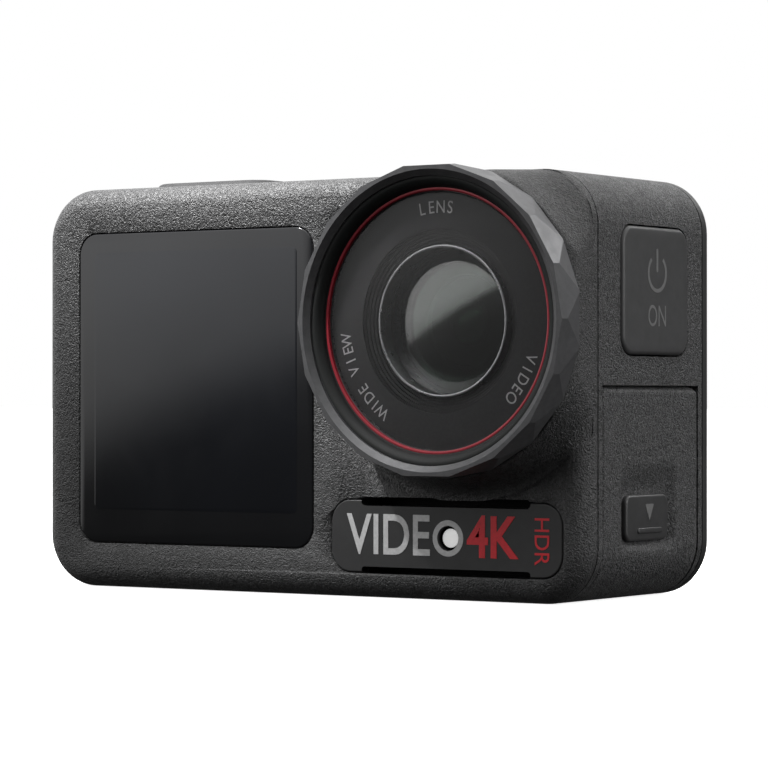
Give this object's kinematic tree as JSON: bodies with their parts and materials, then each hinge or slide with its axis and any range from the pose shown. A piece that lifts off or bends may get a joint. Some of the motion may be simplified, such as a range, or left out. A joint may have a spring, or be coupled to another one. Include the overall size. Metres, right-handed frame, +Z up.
{
  "type": "action camera",
  "caption": "Pocket action camera: rounded box with front and rear screens, a wide lens behind a twist-off cover, sprung buttons, a hinged port cover and a battery that slides out.",
  "frame": {"origin": "middle of the base face, where the camera stands", "axes": "+Z up, -Y towards the subject in front of the lens, +X towards the lens end of the body"},
  "size_m": [0.071, 0.0329, 0.0449],
  "materials": {
    "shell_plastic": "dark charcoal moulded plastic with a fine leathery grain",
    "frame_plastic": "dark charcoal moulded plastic with a fine speckle",
    "rear_plastic": "smooth dark plastic",
    "ring_alloy": "dark grey anodised, satin, cut facets",
    "accent_red": "muted red, satin",
    "screen_glass": "black backed glass, polished",
    "clear_glass": "clear, coated",
    "lens_glass": "coated optical glass",
    "mask_print": "dark grey print on glass",
    "lens_black": "matt black",
    "trim_silver": "turned silver ring",
    "seal_rubber": "soft black rubber",
    "steel": "plain steel",
    "circuit": "green circuit board",
    "chip_black": "black package",
    "heat_alloy": "plain aluminium",
    "pad_grey": "soft grey pad",
    "display_black": "black display panel",
    "battery_grey": "dark grey plastic",
    "cell_foil": "foil pouch",
    "diffuser_white": "white diffuser",
    "button_plastic": "smooth grey plastic",
    "latch_plastic": "smooth grey plastic"
  },
  "bodies": {
    "camera_body": {"aperture_plate": "lens_black", "base_plate": "steel", "battery_contacts": "steel", "battery_sleeve": "chip_black", "button_bracket": "steel", "card_socket": "steel", "chassis_screws": "steel", "front_display": "display_black", "front_gasket": "seal_rubber", "front_lens": "lens_glass", "front_screen_glass": "screen_glass", "front_shell": "shell_plastic", "heat_plate": "heat_alloy", "hinge_pin": "steel", "image_sensor": "chip_black", "infrared_filter": "lens_glass", "lens_baffle": "lens_black", "lens_barrel": "lens_black", "lens_screws": "steel", "lens_seal": "seal_rubber", "lens_trim_ring": "trim_silver", "light_sensor": "chip_black", "light_sensor_window": "diffuser_white", "main_board": "circuit", "memory_chips": "chip_black", "microphones": "steel", "microsd_card": "chip_black", "mid_housing": "frame_plastic", "middle_lens": "lens_glass", "mount_magnets": "steel", "name_plate": "rear_plastic", "power_switch": "steel", "processor": "chip_black", "rear_display": "display_black", "rear_frame": "rear_plastic", "rear_gasket": "seal_rubber", "rear_lens": "lens_glass", "rear_screen_glass": "screen_glass", "record_switch": "steel", "sensor_board": "circuit", "speaker": "chip_black", "speaker_mesh": "lens_black", "status_light": "diffuser_white", "thermal_pad": "pad_grey", "usb_port": "steel"},
    "lens_cover": {"lens_cover_ring": "ring_alloy", "cover_glass": "clear_glass", "glass_mask": "mask_print", "accent_ring": "accent_red"},
    "record_key": {"record_button": "button_plastic"},
    "power_key": {"power_button": "button_plastic"},
    "port_door": {"port_cover": "frame_plastic", "port_seal": "seal_rubber"},
    "port_door_latch": {"port_latch": "latch_plastic"},
    "battery": {"battery_case": "battery_grey", "battery_cell": "cell_foil", "battery_cap": "frame_plastic", "battery_seal": "seal_rubber"},
    "upper_battery_latch": {"battery_latch_upper": "latch_plastic"},
    "lower_battery_latch": {"battery_latch_lower": "latch_plastic"}
  },
  "joints": [
    {"name": "lens_cover_twist", "type": "hinge", "parent": "camera_body", "child": "lens_cover", "pos_m": [0.02035, -0.01605, 0.02843], "axis": [0, -1, 0], "range_deg": [0, 45]},
    {"name": "record_button_press", "type": "slide", "parent": "camera_body", "child": "record_key", "axis": [0, 0, -1], "range_m": [0, 0.0006], "stiffness_N_per_m": 2000, "springref_m": -0.0002},
    {"name": "power_button_press", "type": "slide", "parent": "camera_body", "child": "power_key", "axis": [-1, 0, 0], "range_m": [0, 0.0004], "stiffness_N_per_m": 2500, "springref_m": -0.0002},
    {"name": "port_cover_hinge", "type": "hinge", "parent": "camera_body", "child": "port_door", "pos_m": [0.03375, 0.00024, 0.02081], "axis": [0, -1, 0], "range_deg": [0, 90]},
    {"name": "port_latch_slide", "type": "slide", "parent": "port_door", "child": "port_door_latch", "axis": [0, 0, -1], "range_m": [0, 0.0008], "stiffness_N_per_m": 800, "springref_m": -0.0003},
    {"name": "battery_slide", "type": "slide", "parent": "camera_body", "child": "battery", "axis": [-1, 0, 0], "range_m": [0, 0.041]},
    {"name": "upper_battery_latch_slide", "type": "slide", "parent": "battery", "child": "upper_battery_latch", "axis": [0, 0, -1], "range_m": [0, 0.0014], "stiffness_N_per_m": 600, "springref_m": -0.0004},
    {"name": "lower_battery_latch_slide", "type": "slide", "parent": "battery", "child": "lower_battery_latch", "axis": [0, 0, 1], "range_m": [0, 0.0014], "stiffness_N_per_m": 600, "springref_m": -0.0004}
  ]
}
